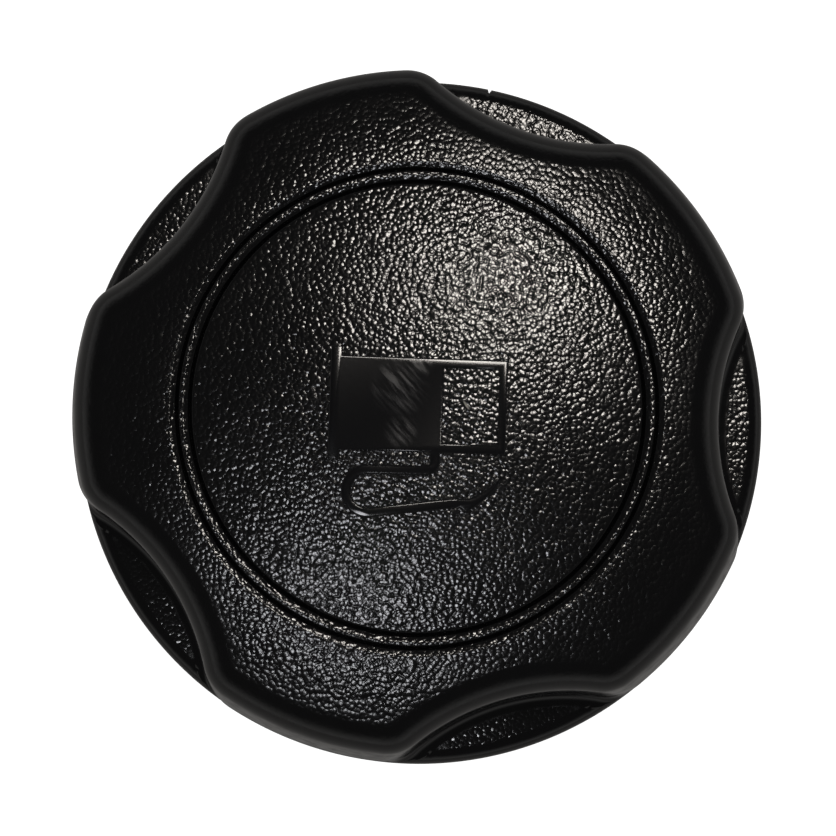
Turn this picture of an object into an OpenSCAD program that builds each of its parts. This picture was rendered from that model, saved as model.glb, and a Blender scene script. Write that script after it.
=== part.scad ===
// Screw-in fuel filler cap: a five-lobed grip that turns on a threaded plug through a
// torque-limiting ratchet, with a pressure valve and a vacuum valve inside the plug.
// Millimetres, +Z up along the axis, standing on the foot of the plug at z = 0.

/* [Grip] */
// Diameter of the round flange at the foot of the grip
flange_d = 80; // [78:1:84]
// Height of the flange, up to the shelf in each finger hollow
flange_h = 4.2; // [3.6:0.2:5]
// Rounding of the flange's upper edge
flange_round = 2; // [1.6:0.1:2.4]
// Height of the grip from its underside to its crown
grip_h = 22.2; // [21:0.2:25]
// Number of lobes, and of finger hollows
lobe_count = 5; // [5, 6]
// Step from the flange's edge in to the foot of a lobe
lobe_step = 0.3; // [0.2:0.1:0.6]
// How far a lobe's wall leans in on its way up
lobe_lean = 1.7; // [1:0.1:2.2]
// Radius of a finger hollow
hollow_r = 27.5; // [26:0.5:30]
// Depth of a finger hollow, from the flange's edge
hollow_depth = 6.8; // [6:0.2:7.2]
// How far a hollow's wall leans in on its way up
hollow_draft = 0.8; // [0.4:0.1:1.2]
// Radius of the corners between lobes and hollows
corner_r = 5; // [4.5:0.25:6]
// Radius of the rolled upper edge
edge_r = 4; // [3.4:0.2:4.6]
// Fillet between a hollow's wall and its shelf
shelf_fillet = 0.8; // [0.4:0.1:1.2]
// Wall thickness of the grip's sides
grip_wall = 2.5; // [2.2:0.1:2.8]
// Thickness of the grip's top
top_wall = 2.9; // [2.6:0.1:3.2]
// Ribs inside each lobe
ribs_per_lobe = 3; // [1, 3]
// Thickness of those ribs
rib_t = 1.4; // [1:0.1:2]

/* [Top face] */
// Rise of the crown from the rolled edge to the round panel
crown_rise = 0.3; // [0.2:0.1:0.5]
// Diameter of the middle panel, inside its two ring grooves
panel_d = 48.6; // [46:0.2:50]
// Rise of the panel's middle
panel_rise = 0.8; // [0.4:0.1:1.2]
// Width of the inner ring groove
groove_in_w = 1.1; // [0.8:0.1:1.3]
// Width of the ridge between the grooves
ridge_w = 0.5; // [0.4:0.1:0.8]
// Width of the outer ring groove
groove_out_w = 0.7; // [0.5:0.1:0.9]
// Height of the fuel-pump symbol above the panel
symbol_h = 0.3; // [0.2:0.05:0.5]
// Scale of the symbol, where 1 is 18 mm from the pump's foot to its head
symbol_scale = 1; // [0.8:0.05:1.2]
// Width of the symbol's hose
hose_w = 1.1; // [0.9:0.1:1.3]

/* [Plug] */
// Height from the plug's foot to the sealing face
plug_h = 22.2; // [21:0.2:26]
// Diameter over the thread
thread_d = 51; // [50:0.5:52]
// Depth of the thread
thread_depth = 2.6; // [2:0.1:2.8]
// Pitch of the thread
thread_pitch = 6; // [5:0.5:6]
// Turns of the thread
thread_turns = 1.75; // [1:0.25:2]
// Plain length of the plug below the thread
pilot_l = 4; // [3:0.5:5]
// Wall thickness of the plug
plug_wall = 2; // [1.8:0.1:2.2]
// Thickness of the plug's deck and flange
deck_t = 2.6; // [2.2:0.2:3]
// Outer diameter of the main seal
seal_d = 56; // [55:0.5:57]
// Thickness of the main seal
seal_t = 4.4; // [4:0.2:5]
// How far the main seal stands below the grip
seal_drop = 0.8; // [0.4:0.1:1]

/* [Ratchet] */
// Teeth of the ratchet
tooth_count = 24; // [20, 24, 28]
// Height of a ratchet tooth
tooth_h = 2; // [1.6:0.1:2.2]
// Arms of the pawl ring
arm_count = 4; // [2, 4]
// Thickness of an arm
arm_t = 1.7; // [1.4:0.1:2]
// Height of the pawl ring
pawl_h = 5; // [4:0.5:6]
// Radius of the pivot that centres the grip on the plug
pivot_r = 11; // [10.5:0.25:11.5]
// Wall thickness of the hub round the pivot
hub_wall = 3; // [2.6:0.1:3.2]
// Width of the lock ring that holds the plug in the grip
lock_w = 2.2; // [2:0.1:2.4]
// Thickness of the lock ring
lock_t = 2.2; // [1.8:0.1:2.4]
// Thickness of the slide washer
washer_t = 1; // [0.8:0.1:1.4]

/* [Valves] */
// Depth of the vented cover inside the plug's foot
cover_recess = 0.8; // [0.4:0.2:1.4]
// Thickness of the vented cover
cover_t = 1.8; // [1.4:0.2:2.2]
// Height of the cover's rim
cover_rim = 2; // [1.8:0.1:2.6]
// Wall thickness of the valve housing
housing_wall = 3; // [2.8:0.1:3.2]
// Thickness of the valve housing's floor
floor_t = 2; // [1.6:0.2:2.4]
// Thickness of the housing's sealing ring
o_ring_d = 1.9; // [1.6:0.1:2]
// Radius of the pressure valve's seat
seat_r = 11.4; // [11.2:0.1:12]
// Height of that seat above the floor
seat_h = 1.4; // [1.2:0.1:1.8]
// Thickness of the pressure valve's rubber disc
disc_t = 1.4; // [1:0.1:1.8]
// Radius of the pressure valve's plate
plate_r = 15; // [14.6:0.1:15.4]
// Thickness of that plate
plate_t = 1.6; // [1.2:0.1:2]
// Travel of the pressure valve
pressure_travel = 2.5; // [1.5:0.25:3]
// Wire of the pressure spring
pressure_wire = 1.4; // [1:0.1:1.6]
// Width of the land from the vacuum valve's head to the pressure valve's seat
land_w = 3.5; // [3.4:0.1:3.7]
// Thickness of the vacuum valve's head
head_t = 1.3; // [1:0.1:1.6]
// Thickness of the vacuum valve's rubber disc
vacuum_disc_t = 1.1; // [0.8:0.1:1.3]
// Radius of the vacuum valve's stem
stem_r = 2; // [1.8:0.1:2.2]
// Travel of the vacuum valve
vacuum_travel = 1.5; // [1:0.1:1.8]
// Wire of the vacuum spring
vacuum_wire = 0.6; // [0.4:0.1:0.7]
// Length of the vacuum spring
vacuum_spring_l = 6.6; // [6.2:0.2:7.4]
// Thickness of the spring retainer
retainer_t = 1.8; // [1.4:0.2:2.2]
// Thickness of the breather filter
filter_t = 2.2; // [1.8:0.2:2.6]

/* [Fits] */
// Gap between faces that turn or slide past each other
play = 0.4; // [0.3:0.05:0.5]
// Axial gap between the plug and what turns on it
axial_play = 0.3; // [0.2:0.05:0.4]
// Radial clearance of a running fit
running_fit = 0.08; // [0.04:0.01:0.1]
// Clearance round a piece that is pushed into place
push_fit = 0.1; // [0.05:0.01:0.15]

/* [Hidden] */
$fn = 96;

// Facets along the outline of the grip
hollow_steps = 4;
corner_steps = 6;
lobe_steps = 8;

// Heights, from the foot of the plug upwards
deck_z = plug_h + seal_t;
deck_top = deck_z + deck_t;
grip_z = plug_h + seal_drop;
shelf_z = grip_z + flange_h;
crown_z = grip_z + grip_h;
web_z = crown_z - top_wall;
hub_top = web_z - washer_t - axial_play;
vent_h = 1.8;
pawl_z = deck_top + vent_h;
tooth_over = 0.6;
tooth_z = pawl_z - tooth_over;
tooth_ring_h = pawl_h + 2 * tooth_over;
lock_z = deck_z - axial_play - lock_t;
collar_z = grip_z + 0.6;

// Radii of the grip
flange_r = flange_d / 2;
lobe_r = flange_r - lobe_step;
hollow_base_r = hollow_r - hollow_draft;
hollow_c = flange_r - hollow_depth + hollow_r;
roll_start = 12;
roll_end = 80;
wall_top_z = crown_z - crown_rise - edge_r * (sin(roll_end) - sin(roll_start));
panel_edge_r = panel_d / 2 + groove_in_w + ridge_w + groove_out_w + 1.8;

// Radii from the plug's axis outwards
thread_r = thread_d / 2;
barrel_r = thread_r - thread_depth;
bore_r = barrel_r - plug_wall;
foot_break = 0.8;
pilot_r = barrel_r - 0.3;
pilot_top = foot_break + pilot_l;
seal_r = seal_d / 2;
lock_in_r = seal_r + play;
collar_r = lock_in_r + lock_w;
collar_wall = 2;
deck_r = collar_r - play;
hub_bore_r = pivot_r + running_fit;
hub_r = hub_bore_r + hub_wall;
shoulder_r = hub_r + 3;
spline_w = 2.4;
spline_h = 1.2;
tooth_root_r = collar_r - 1;
tooth_tip_r = tooth_root_r - tooth_h;
key_w = 4;
key_h = 1;
key_room = 0.2;
snap_bead = 0.5;
snap_h = 1;

// One pitch of the ratchet, and the share of it that the ramp takes
tooth_pitch = 360 / tooth_count;
ramp = 0.85;
ramp_slope = tooth_h / (ramp * tooth_pitch);
pawl_r = tooth_root_r - play;
pawl_ring_r = hub_r + 4.4;
arm_sweep = (pawl_r - pawl_ring_r) / ramp_slope + 6;

// The valve stack
cover_top = cover_recess + cover_t;
housing_z = cover_top + cover_rim;
floor_top = housing_z + floor_t;
seat_z = floor_top + seat_h;
plate_z = seat_z + disc_t;
plate_top = plate_z + plate_t;
filter_z = deck_z - filter_t;
retainer_z = filter_z - retainer_t;
housing_r = bore_r - push_fit;
housing_in_r = housing_r - housing_wall;
o_ring_z = (housing_z + retainer_z) / 2;
seat_rim = 1.8;
aperture_r = seat_r - seat_rim;
head_r = seat_r - land_w;
clamp_r = head_r + 0.6;
clamp_wall = 0.5;
clamp_lip = 0.6;
disc_in_r = clamp_r + clamp_wall;
disc_r = plate_r - 0.8;
head_z = plate_z - vacuum_disc_t - head_t;
locator_h = 1.4;
stop_z = plate_top + locator_h + pressure_travel;
clip_z = plate_top + vacuum_spring_l;
clip_t = 1.2;
clip_reach = 3.8;
clip_r = stem_r + clip_reach;
clip_hub_h = 1;
guide_wall = 1.6;
guide_r = stem_r + guide_wall;
guide_h = vacuum_spring_l - clip_hub_h - vacuum_travel;
stem_top = clip_z + clip_t + 0.8;
vacuum_coil_r = guide_r + 0.7 + vacuum_wire / 2;
pressure_coil_r = seat_r + 0.3;
locator_r = pressure_coil_r - pressure_wire / 2 - 0.4;
air_hole_r = 1;
air_circle_r = head_r - air_hole_r - 0.5;
retainer_hole_r = clip_r + 1.2;

// Points along an arc from angle a to angle b, without the last one
function arc(centre, r, a, b, steps) =
    [for (i = [0:steps - 1]) let (t = a + (b - a) * i / steps) centre + r * [cos(t), sin(t)]];

function turned(points, angle) =
    [for (p = points) [p[0] * cos(angle) - p[1] * sin(angle), p[0] * sin(angle) + p[1] * cos(angle)]];

// A quadratic curve from a to c that leaves towards b
function curve(a, b, c, steps) =
    [for (i = [0:steps]) let (t = i / steps) (1 - t) * (1 - t) * a + 2 * t * (1 - t) * b + t * t * c];

// The grip seen from above: lobe arcs, hollow arcs and the corners that touch both
function grip_outline(lobe, hollow, corner) =
    let (
        pitch = 360 / lobe_count,
        reach = lobe - corner,
        phi = acos((pow(hollow_c, 2) + pow(reach, 2) - pow(hollow + corner, 2)) / (2 * hollow_c * reach)),
        c = reach * [cos(phi), sin(phi)],
        beta = atan2(c[1], c[0] - hollow_c),
        last = [[hollow_c, 0]],
        mirrored = reach * [cos(pitch - phi), sin(pitch - phi)],
        next_hollow = hollow_c * [cos(pitch), sin(pitch)],
        one = concat(
            arc([hollow_c, 0], hollow, 180, beta, hollow_steps),
            arc(c, corner, beta - 180, phi, corner_steps),
            arc([0, 0], lobe, phi, pitch - phi, lobe_steps),
            arc(mirrored, corner, pitch - phi, pitch - beta + 180, corner_steps),
            arc(next_hollow, hollow, pitch - beta, pitch - 180, hollow_steps)
        )
    )
    [for (k = [0:lobe_count - 1]) each turned(one, k * pitch)];

// An outline drawn part of the way to a circle
function towards_circle(outline, r, share) = [for (p = outline) (1 - share) * p + share * r * p / norm(p)];

function level(outline, z) = [for (p = outline) [p[0], p[1], z]];

// A solid through closed rings of equally many points, lowest ring first
module loft(rings) {
    n = len(rings[0]);
    top = (len(rings) - 1) * n;
    sides = [for (k = [0:len(rings) - 2], i = [0:n - 1])
        let (a = k * n + i, b = k * n + (i + 1) % n)
        each [[a, b + n, b], [a, a + n, b + n]]];
    caps = [[for (i = [0:n - 1]) i], [for (i = [n - 1:-1:0]) top + i]];
    polyhedron(points = [for (ring = rings) each ring], faces = concat(sides, caps));
}

// How far the wall has leaned in at height z: 0 at the shelf, 1 where the edge begins to roll
function lean(z) = pow((z - shelf_z) / (wall_top_z - shelf_z), 2);

function wall_ring(z, inset) =
    let (rise = max(z - shelf_z, 0) / (wall_top_z - shelf_z))
    grip_outline(
        lobe_r - lobe_lean * lean(max(z, shelf_z)) - inset,
        hollow_base_r + hollow_draft * rise + inset,
        corner_r - inset
    );

// The lobes from inside the flange up to the crown: fillet, leaning wall, rolled edge, crown
module lobes() {
    wall_steps = 5;
    roll_steps = 6;
    crown_steps = 3;
    fillet = [for (a = [0:30:60])
        let (z = shelf_z + shelf_fillet * (1 - cos(a)), out = shelf_fillet * (1 - sin(a)))
        level(grip_outline(lobe_r - lobe_lean * lean(z), hollow_base_r - out, corner_r), z)];
    foot = [for (p = fillet[0]) [p[0], p[1], shelf_z - flange_round]];
    start = shelf_z + shelf_fillet;
    wall = [for (i = [0:wall_steps])
        let (z = start + (wall_top_z - start) * i / wall_steps)
        level(wall_ring(z, 0), z)];
    roll = [for (i = [1:roll_steps])
        let (a = roll_start + (roll_end - roll_start) * i / roll_steps)
        let (inset = edge_r * (cos(roll_start) - cos(a)))
        level(wall_ring(wall_top_z, inset), wall_top_z + edge_r * (sin(a) - sin(roll_start)))];
    edge = wall_ring(wall_top_z, edge_r * (cos(roll_start) - cos(roll_end)));
    crown = [for (i = [1:crown_steps])
        let (t = i / crown_steps)
        level(towards_circle(edge, panel_edge_r, t), crown_z - crown_rise * (1 - sin(90 * t)))];
    loft(concat([foot], fillet, wall, roll, crown));
}

// The round flange, with its upper edge rounded and its lower edge broken
module flange() {
    broken = 0.4;
    rotate_extrude()
        difference() {
            translate([0, grip_z]) square([flange_r, flange_h]);
            translate([flange_r - flange_round, shelf_z - flange_round])
                difference() {
                    square(flange_round * 2);
                    circle(flange_round);
                }
            translate([flange_r, grip_z]) rotate(45) square(broken * sqrt(2), center = true);
        }
}

// The domed middle panel, whose edge dips into the crown
module panel() {
    steps = 8;
    edge = 0.15;
    dome = [for (i = [0:steps]) let (s = i / steps) [panel_d / 2 * s, crown_z + edge + panel_rise * (1 - s * s)]];
    rotate_extrude()
        polygon(concat(
            [[0, crown_z - 1]], dome,
            [[panel_edge_r - 1, crown_z + edge], [panel_edge_r + 0.3, crown_z - 0.05], [panel_edge_r + 0.3, crown_z - 1]]
        ));
}

module ring_groove(inner_r, width) {
    rotate_extrude() translate([inner_r + width / 2, crown_z + 0.1]) circle(width / 2);
}

module ring_grooves() {
    ring_groove(panel_d / 2, groove_in_w);
    ring_groove(panel_d / 2 + groove_in_w + ridge_w, groove_out_w);
}

// The band of constant width along a line of points
function side(path, w) =
    [for (i = [0:len(path) - 1])
        let (a = path[max(i - 1, 0)], b = path[min(i + 1, len(path) - 1)], d = (b - a) / norm(b - a))
        path[i] + w / 2 * [-d[1], d[0]]];

module band(path, w) {
    far = side(path, -w);
    polygon(concat(side(path, w), [for (i = [len(path) - 1:-1:0]) far[i]]));
}

// The fuel-pump symbol: the pump lies along X with its foot to the left, and its hose is below
module pump_symbol() {
    foot_x = -9.5;
    foot_w = 1.3;
    foot_l = 12.4;
    body_y = -5;
    body_l = 18.1;
    body_w = 10.3;
    window = [6, 8.2];
    window_x = 2.9;
    bend_r = 1.1;
    loop_r = 2.35;
    loop = [-5, -9.35];
    hose_x = 2.2;
    rise = 8;
    hose_end = [4.4, -10.4];
    hose = concat(
        [[hose_x, body_y + 0.2]],
        arc([hose_x - bend_r, loop[1] + loop_r + bend_r], bend_r, 0, -90, 4),
        arc(loop, loop_r, 90, 270 + rise, 12),
        [loop + loop_r * [sin(rise), -cos(rise)], hose_end]
    );
    nozzle = concat(
        [hose_end + [-0.3, -0.5], [5, -10.85]],
        curve([5.7, -11.4], [9.1, -9.3], [9.65, -7.05], 6),
        curve([9.65, -7.05], [8, -9.1], [5.9, -9.85], 5),
        [hose_end + [-0.3, 0.5]]
    );
    translate([foot_x, body_y + (body_w - foot_l) / 2]) square([foot_w, foot_l]);
    difference() {
        translate([foot_x + 1.2, body_y]) square([body_l, body_w]);
        translate([window_x, body_y + (body_w - window[1]) / 2]) square(window);
    }
    band(hose, hose_w);
    polygon(nozzle);
}

// What the mould's core leaves free inside the grip
module core() {
    rim_wall = 2.4;
    shelf_wall = 2.2;
    base = shelf_z - shelf_wall;
    top = wall_ring(wall_top_z, grip_wall);
    foot = wall_ring(shelf_z, grip_wall);
    middle_z = (shelf_z + wall_top_z) / 2;
    cylinder_between(grip_z - 1, base, flange_r - rim_wall);
    loft([level(foot, base - 1), level(foot, shelf_z), level(wall_ring(middle_z, grip_wall), middle_z),
        level(top, wall_top_z), level(top, web_z)]);
}

module cylinder_between(low, high, r) {
    translate([0, 0, low]) cylinder(r = r, h = high - low);
}

module tube_between(low, high, outer, inner) {
    translate([0, 0, low])
        difference() {
            cylinder(r = outer, h = high - low);
            translate([0, 0, -1]) cylinder(r = inner, h = high - low + 2);
        }
}

module around(count, start = 0) {
    for (i = [0:count - 1]) rotate(start + i * 360 / count) children();
}

module lobe_ribs() {
    spread = 13;
    around(lobe_count, 180 / lobe_count)
        for (i = [0:ribs_per_lobe - 1])
            rotate((i - (ribs_per_lobe - 1) / 2) * spread)
                translate([collar_r + collar_wall / 2, -rib_t / 2, shelf_z - 1.6])
                    cube([flange_r - collar_r, rib_t, web_z - shelf_z + 2]);
}

module grip_cap() color("#17181b")
difference() {
    union() {
        flange();
        lobes();
        panel();
        translate([0, 0, crown_z - 0.2])
            linear_extrude(panel_rise + 0.35 + symbol_h) scale(symbol_scale) pump_symbol();
    }
    difference() {
        core();
        lobe_ribs();
        cylinder_between(collar_z, web_z + 1, collar_r + collar_wall);
    }
    // the bore for the plug, the shoulder that the tooth ring seats on, and the room above it
    difference() {
        union() {
            cylinder_between(grip_z - 1, tooth_z + tooth_ring_h, collar_r);
            cylinder_between(tooth_z, web_z, collar_r - 0.8);
        }
        tube_between(pawl_z + vent_h, web_z + 1, pivot_r, pivot_r - 2.4);
    }
    translate([0, 0, lock_z + (lock_t - snap_h) / 2 - push_fit])
        cylinder(r = collar_r + snap_bead + push_fit, h = snap_h + 2 * push_fit);
    around(lobe_count, 180 / lobe_count)
        translate([collar_r - 1, -key_w / 2 - push_fit, grip_z])
            cube([1 + key_h + push_fit, key_w + 2 * push_fit, tooth_z + tooth_ring_h + key_room - grip_z]);
    ring_grooves();
}

// The ratchet's inner toothed ring, keyed into the grip
module tooth_ring() color("#e4e1d6")
translate([0, 0, tooth_z])
    linear_extrude(tooth_ring_h)
        difference() {
            union() {
                circle(collar_r);
                around(lobe_count, 180 / lobe_count)
                    translate([collar_r - 1, -key_w / 2]) square([1 + key_h, key_w]);
            }
            polygon([for (i = [0:tooth_count - 1])
                let (a = i * tooth_pitch)
                each [tooth_root_r * [cos(a), sin(a)],
                    tooth_tip_r * [cos(a + ramp * tooth_pitch), sin(a + ramp * tooth_pitch)],
                    tooth_tip_r * [cos(a + 0.93 * tooth_pitch), sin(a + 0.93 * tooth_pitch)]]]);
        }

module slide_washer() color("#d8d4c6")
tube_between(web_z - washer_t, web_z, hub_r, pivot_r + 0.2);

// The ring that snaps into the grip under the plug's flange
module lock_ring() color("#2a2b2e")
difference() {
    union() {
        cylinder_between(lock_z, lock_z + lock_t, collar_r);
        translate([0, 0, lock_z + (lock_t - snap_h) / 2]) cylinder(r = collar_r + snap_bead, h = snap_h);
    }
    cylinder_between(lock_z - 1, lock_z + lock_t + 1, lock_in_r);
}

// An arm that follows the same spiral as the ramps of the teeth, ending in a pawl
module arm() {
    steps = 14;
    first = atan(play / tooth_root_r);
    outer = [for (i = [0:steps]) let (s = first + (arm_sweep - first) * i / steps)
        (pawl_r - ramp_slope * s) * [cos(s), sin(s)]];
    inner = [for (i = [steps:-1:0]) let (s = first + (arm_sweep - first) * i / steps)
        (pawl_r - ramp_slope * s - arm_t) * [cos(s), sin(s)]];
    polygon(concat(outer, inner));
}

module pawl_ring() color("#c9b98a")
difference() {
    translate([0, 0, pawl_z])
        linear_extrude(pawl_h)
            union() {
                circle(pawl_ring_r);
                around(arm_count) arm();
            }
    cylinder_between(pawl_z - 1, pawl_z + pawl_h + 1, hub_r + push_fit);
    around(6)
        translate([0, -spline_w / 2 - push_fit, pawl_z - 1])
            cube([hub_r + spline_h + push_fit, spline_w + 2 * push_fit, pawl_h + 2]);
}

// One coarse thread that grows out of the barrel and sinks back into it
module thread() {
    sections = 56;
    sink = 0.5;
    foot_half = thread_pitch * 0.33;
    crest_half = thread_pitch * 0.11;
    start_z = pilot_top + 0.6 + foot_half;
    loft([for (i = [0:sections])
        let (share = i / sections, a = share * thread_turns * 360, z = start_z + share * thread_turns * thread_pitch)
        let (grow = min(1, 9 * share, 9 * (1 - share)), crest = barrel_r - 0.1 + (thread_depth + 0.1) * grow)
        [for (p = [[barrel_r - sink, foot_half], [crest, crest_half], [crest, -crest_half], [barrel_r - sink, -foot_half]])
            [p[0] * cos(a), p[0] * sin(a), z + p[1]]]]);
}

module plug_body() color("#1d1f21")
difference() {
    union() {
        difference() {
            union() {
                cylinder_between(pilot_top, deck_top, barrel_r);
                cylinder_between(0, pilot_top + 1, pilot_r);
            }
            // broken edge round the foot
            rotate_extrude() translate([pilot_r, 0]) rotate(45) square(foot_break * sqrt(2), center = true);
        }
        thread();
        cylinder_between(deck_z, deck_top, deck_r);
        cylinder_between(deck_top, pawl_z, shoulder_r);
        cylinder_between(deck_top, hub_top, hub_r);
        around(6)
            translate([0, -spline_w / 2, pawl_z])
                cube([hub_r + spline_h, spline_w, pawl_h + 1]);
    }
    cylinder_between(-1, deck_z, bore_r);
    cylinder_between(deck_top, hub_top + 1, hub_bore_r);
    // the groove that the cover snaps into
    translate([0, 0, cover_recess + cover_t / 2 - snap_h / 2 - push_fit])
        cylinder(r = bore_r + snap_bead, h = snap_h + 2 * push_fit);
    // air ports: up through the deck, then out under the pawl ring
    around(6) translate([hub_bore_r - 3.5, 0, deck_z - 1]) cylinder(r = 1.5, h = deck_t + 2);
    around(4, 45) translate([hub_bore_r - 2, -2, deck_top]) cube([shoulder_r - hub_bore_r + 3, 4, vent_h + 0.3]);
}

// A flat ring with a rounded bead below, pinched under the plug's flange
module main_seal() color("#101010")
rotate_extrude()
    difference() {
        union() {
            translate([barrel_r, plug_h + seal_t / 2]) square([seal_r - barrel_r, seal_t / 2]);
            translate([barrel_r + 0.8, plug_h]) square([seal_r - barrel_r - 1.6, seal_t]);
        }
        for (x = [barrel_r + 0.8, seal_r - 0.8])
            translate([x, plug_h]) rotate(45) square(0.8, center = true);
    }

module valve_housing() color("#33363a")
difference() {
    union() {
        tube_between(housing_z, retainer_z, housing_r, housing_in_r);
        cylinder_between(housing_z, floor_top, housing_r);
        // the seat, narrower at its top
        rotate_extrude()
            polygon([[seat_r - 1.2, floor_top - 0.5], [seat_r + 1.2, floor_top - 0.5],
                [seat_r + 0.4, seat_z], [seat_r - 0.4, seat_z]]);
    }
    cylinder_between(housing_z - 1, seat_z + 1, aperture_r);
    tube_between(o_ring_z - o_ring_d / 2 - push_fit, o_ring_z + o_ring_d / 2 + push_fit, housing_r + 1, bore_r - o_ring_d);
}

module housing_o_ring() color("#141414")
translate([0, 0, o_ring_z])
    rotate_extrude() translate([bore_r - o_ring_d / 2, 0]) circle(o_ring_d / 2, $fn = 32);

// The perforated cover at the foot of the plug
module vented_cover() color("#26282b")
difference() {
    union() {
        cylinder_between(cover_recess, cover_top, housing_r);
        tube_between(cover_recess, housing_z, housing_r, housing_r - 1.8);
        translate([0, 0, cover_recess + (cover_t - snap_h) / 2])
            cylinder(r = bore_r + snap_bead - push_fit, h = snap_h);
    }
    around(8) vent_slot(housing_r * 0.36, housing_r * 0.7, 1.2);
    translate([0, 0, cover_recess - 1]) cylinder(r = 2, h = cover_t + 2);
}

// A radial slot with round ends, through the cover
module vent_slot(from, to, r) {
    for (x = [from, to]) translate([x, 0, cover_recess - 1]) cylinder(r = r, h = cover_t + 2);
    translate([from, -r, cover_recess - 1]) cube([to - from, 2 * r, cover_t + 2]);
}

// The lid of the valve housing, which the pressure spring pushes against
module spring_retainer() color("#3a3d42")
let (rim_h = 1.2, sleeve_wall = 1.6)
difference() {
    union() {
        cylinder_between(retainer_z, filter_z, housing_r);
        // the sleeve inside the spring, which stops the pressure valve at the end of its travel
        tube_between(stop_z, retainer_z + 0.5, locator_r, locator_r - sleeve_wall);
        // the rim that centres the lid in the housing
        tube_between(retainer_z - rim_h, filter_z, housing_in_r - push_fit, housing_in_r - 1.4);
    }
    cylinder_between(stop_z - 1, filter_z + 1, retainer_hole_r);
    around(6)
        translate([(pressure_coil_r + pressure_wire / 2 + housing_in_r - 1.4) / 2, 0, retainer_z - rim_h - 1])
            cylinder(r = 1.2, h = retainer_t + rim_h + 2);
}

module breather_filter() color("#8b8a84")
tube_between(filter_z, deck_z, bore_r - 0.6, 3);

// A coil spring from one plate to the other
module coil(low, high, coil_r, wire, turns, per_turn, ring) {
    n = turns * per_turn;
    rise = high - low - wire;
    loft([for (i = [0:n])
        let (a = i * 360 / per_turn, t = i / n)
        let (z = low + wire / 2 + rise * min(1, max(0, (t * turns - 0.75) / (turns - 1.5))))
        [for (k = [0:ring - 1])
            let (b = -k * 360 / ring, r = coil_r + wire / 2 * cos(b))
            [r * cos(a), r * sin(a), z + wire / 2 * sin(b)]]]);
}

module pressure_spring() color("#b9bcc0")
coil(plate_top, retainer_z, pressure_coil_r, pressure_wire, 5, 24, 8);

module pressure_plate() color("#c8b26a")
difference() {
    union() {
        cylinder_between(plate_z, plate_top, plate_r);
        tube_between(plate_z - disc_t * 0.6, plate_top, plate_r, disc_r);
        tube_between(plate_z, plate_top + locator_h, locator_r, locator_r - 1);
        cylinder_between(plate_z, plate_top + guide_h, guide_r);
    }
    cylinder_between(plate_z - 1, plate_top + guide_h + 1, stem_r + running_fit);
    around(6) translate([air_circle_r, 0, plate_z - 1]) cylinder(r = air_hole_r, h = plate_t + 2);
}

module pressure_disc() color("#1b1b1b")
tube_between(seat_z, plate_z, disc_r, disc_in_r);

// The pressed ring that clamps the rubber disc's inner edge to the plate
module disc_clamp() color("#c8b26a")
difference() {
    union() {
        cylinder_between(seat_z - clamp_lip, seat_z, disc_in_r + 1);
        cylinder_between(seat_z - clamp_lip, plate_z, disc_in_r);
    }
    cylinder_between(seat_z - clamp_lip - 1, plate_z + 1, clamp_r);
}

module vacuum_stem() color("#dcdcd6") {
    cylinder_between(head_z, head_z + head_t, head_r);
    cylinder_between(head_z, stem_top, stem_r);
}

module vacuum_disc() color("#1b1b1b")
tube_between(head_z + head_t, plate_z, head_r - 0.1, stem_r);

module vacuum_spring() color("#b9bcc0")
coil(plate_top, clip_z, vacuum_coil_r, vacuum_wire, 5.5, 16, 6);

module stem_clip() color("#b9bcc0")
difference() {
    union() {
        cylinder_between(clip_z, clip_z + clip_t, clip_r);
        cylinder_between(clip_z - clip_hub_h, clip_z, guide_r);
    }
    cylinder_between(clip_z - clip_hub_h - 1, stem_top + 1, stem_r);
}

grip_cap();
tooth_ring();
slide_washer();
lock_ring();
pawl_ring();
plug_body();
main_seal();
valve_housing();
housing_o_ring();
vented_cover();
spring_retainer();
breather_filter();
pressure_spring();
pressure_plate();
pressure_disc();
disc_clamp();
vacuum_stem();
vacuum_disc();
vacuum_spring();
stem_clip();
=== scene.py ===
"""Fuel filler cap: fine meshes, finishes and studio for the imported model."""

import math

import bmesh
import bpy
import numpy as np
from bpy.props import FloatProperty, FloatVectorProperty, IntProperty, PointerProperty
from mathutils import Matrix, Vector
from mathutils.geometry import delaunay_2d_cdt


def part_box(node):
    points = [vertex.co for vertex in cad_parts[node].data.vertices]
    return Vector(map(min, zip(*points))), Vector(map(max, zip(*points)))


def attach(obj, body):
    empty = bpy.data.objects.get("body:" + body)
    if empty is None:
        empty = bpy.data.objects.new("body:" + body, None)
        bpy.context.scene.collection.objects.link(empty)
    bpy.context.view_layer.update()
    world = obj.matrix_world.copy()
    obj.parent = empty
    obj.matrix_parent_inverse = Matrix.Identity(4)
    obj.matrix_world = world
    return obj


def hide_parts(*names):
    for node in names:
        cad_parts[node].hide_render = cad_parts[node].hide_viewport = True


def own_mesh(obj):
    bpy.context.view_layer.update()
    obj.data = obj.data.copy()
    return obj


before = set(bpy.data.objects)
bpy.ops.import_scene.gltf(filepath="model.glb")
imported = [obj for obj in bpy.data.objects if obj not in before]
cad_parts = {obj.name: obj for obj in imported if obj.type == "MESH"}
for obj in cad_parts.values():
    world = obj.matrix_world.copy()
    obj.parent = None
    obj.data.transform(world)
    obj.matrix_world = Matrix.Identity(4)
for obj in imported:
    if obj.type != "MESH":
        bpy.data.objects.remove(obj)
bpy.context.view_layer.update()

MM = 0.001
PER_MM = 1000
NOISE, RANGE = "TexNoise", "MapRange"
NOISE_SPAN = (0.3, 0.7)

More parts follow.
